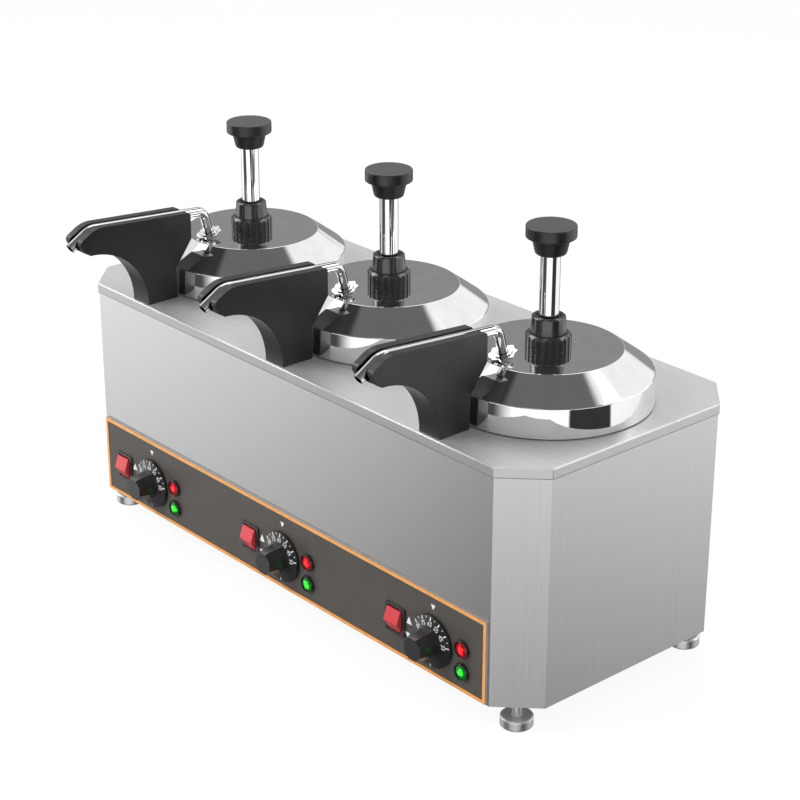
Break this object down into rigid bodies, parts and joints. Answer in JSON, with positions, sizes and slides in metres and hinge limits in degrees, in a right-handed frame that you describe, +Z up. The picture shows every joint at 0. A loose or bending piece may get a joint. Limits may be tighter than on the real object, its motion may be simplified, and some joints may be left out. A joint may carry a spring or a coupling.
{
  "type": "topping warmer",
  "caption": "Countertop warmer for hot toppings: heated wells in a row, push-pump lids, bent tubes in heated spout blocks and a panel of dials, rocker switches and lamps.",
  "frame": {"origin": "middle of the outer box in X and Y, on the surface that the feet stand on", "axes": "+X to the right along the row of wells, +Y from the controls to the back, +Z up"},
  "size_m": [0.5698, 0.3268, 0.363],
  "materials": {
    "brushed_steel": "brushed, upright on the sides and lengthwise on the top",
    "plain_steel": "mill finish",
    "polished_lid": "polished stainless",
    "chrome": "polished",
    "black_block": "black coated, satin",
    "black_plastic": "moulded, half gloss",
    "dial_black": "moulded, glossy, white scale",
    "pale_plastic": "moulded, matt",
    "panel_face": "printed overlay, satin",
    "panel_border": "printed orange edge, satin",
    "red_rocker": "translucent red",
    "red_lens": "translucent red, lit",
    "green_lens": "translucent green, lit"
  },
  "bodies": {
    "body": {"casing": "brushed_steel", "top_plate": "brushed_steel", "base_plate": "plain_steel", "control_panel": "panel_face", "panel_border": "panel_border", "levelling_feet": "chrome", "case_screws": "plain_steel", "cable_gland": "black_plastic", "terminal_block": "pale_plastic", "band_heaters": "plain_steel", "spout_heaters": "plain_steel", "spout_block_screws": "plain_steel", "thermostats": "pale_plastic", "switch_frames": "black_plastic", "lamp_bezels": "black_plastic", "red_lamp_lenses": "red_lens", "green_lamp_lenses": "green_lens", "well_left": "plain_steel", "spout_block_left": "black_block", "pot_left": "plain_steel", "well_middle": "plain_steel", "spout_block_middle": "black_block", "pot_middle": "plain_steel", "well_right": "plain_steel", "spout_block_right": "black_block", "pot_right": "plain_steel"},
    "lid_left_unit": {"lid_left": "polished_lid", "pump_body_left": "pale_plastic", "collar_nut_left": "black_plastic", "guide_bush_left": "black_plastic", "spout_tube_left": "chrome", "star_nut_left": "chrome"},
    "plunger_left_unit": {"plunger_rod_left": "chrome", "push_knob_left": "black_plastic", "plunger_spring_left": "plain_steel"},
    "rocker_left_unit": {"rocker_left": "red_rocker"},
    "dial_left_unit": {"dial_left": "dial_black"},
    "lid_middle_unit": {"lid_middle": "polished_lid", "pump_body_middle": "pale_plastic", "collar_nut_middle": "black_plastic", "guide_bush_middle": "black_plastic", "spout_tube_middle": "chrome", "star_nut_middle": "chrome"},
    "plunger_middle_unit": {"plunger_rod_middle": "chrome", "push_knob_middle": "black_plastic", "plunger_spring_middle": "plain_steel"},
    "rocker_middle_unit": {"rocker_middle": "red_rocker"},
    "dial_middle_unit": {"dial_middle": "dial_black"},
    "lid_right_unit": {"lid_right": "polished_lid", "pump_body_right": "pale_plastic", "collar_nut_right": "black_plastic", "guide_bush_right": "black_plastic", "spout_tube_right": "chrome", "star_nut_right": "chrome"},
    "plunger_right_unit": {"plunger_rod_right": "chrome", "push_knob_right": "black_plastic", "plunger_spring_right": "plain_steel"},
    "rocker_right_unit": {"rocker_right": "red_rocker"},
    "dial_right_unit": {"dial_right": "dial_black"}
  },
  "joints": [
    {"name": "lid_lift_left", "type": "slide", "parent": "body", "child": "lid_left_unit", "axis": [0, 0.5, 0.866], "range_m": [0, 0.085]},
    {"name": "plunger_press_left", "type": "slide", "parent": "lid_left_unit", "child": "plunger_left_unit", "axis": [0, 0, -1], "range_m": [0, 0.045], "stiffness_N_per_m": 300, "springref_m": -0.02, "deforming": ["plunger_spring_left"]},
    {"name": "rocker_press_left", "type": "hinge", "parent": "body", "child": "rocker_left_unit", "pos_m": [-0.2238, -0.09312, 0.0554], "axis": [-1, 0, 0], "range_deg": [0, 12]},
    {"name": "dial_turn_left", "type": "hinge", "parent": "body", "child": "dial_left_unit", "pos_m": [-0.1805, -0.09662, 0.0545], "axis": [0, -1, 0], "range_deg": [-107.5, 92.5]},
    {"name": "lid_lift_middle", "type": "slide", "parent": "body", "child": "lid_middle_unit", "axis": [0, 0.5, 0.866], "range_m": [0, 0.085]},
    {"name": "plunger_press_middle", "type": "slide", "parent": "lid_middle_unit", "child": "plunger_middle_unit", "axis": [0, 0, -1], "range_m": [0, 0.045], "stiffness_N_per_m": 300, "springref_m": -0.02, "deforming": ["plunger_spring_middle"]},
    {"name": "rocker_press_middle", "type": "hinge", "parent": "body", "child": "rocker_middle_unit", "pos_m": [-0.0373, -0.09312, 0.0554], "axis": [-1, 0, 0], "range_deg": [0, 12]},
    {"name": "dial_turn_middle", "type": "hinge", "parent": "body", "child": "dial_middle_unit", "pos_m": [0.006, -0.09662, 0.0545], "axis": [0, -1, 0], "range_deg": [-107.5, 92.5]},
    {"name": "lid_lift_right", "type": "slide", "parent": "body", "child": "lid_right_unit", "axis": [0, 0.5, 0.866], "range_m": [0, 0.085]},
    {"name": "plunger_press_right", "type": "slide", "parent": "lid_right_unit", "child": "plunger_right_unit", "axis": [0, 0, -1], "range_m": [0, 0.045], "stiffness_N_per_m": 300, "springref_m": -0.02, "deforming": ["plunger_spring_right"]},
    {"name": "rocker_press_right", "type": "hinge", "parent": "body", "child": "rocker_right_unit", "pos_m": [0.1492, -0.09312, 0.0554], "axis": [-1, 0, 0], "range_deg": [0, 12]},
    {"name": "dial_turn_right", "type": "hinge", "parent": "body", "child": "dial_right_unit", "pos_m": [0.1925, -0.09662, 0.0545], "axis": [0, -1, 0], "range_deg": [-107.5, 92.5]}
  ]
}
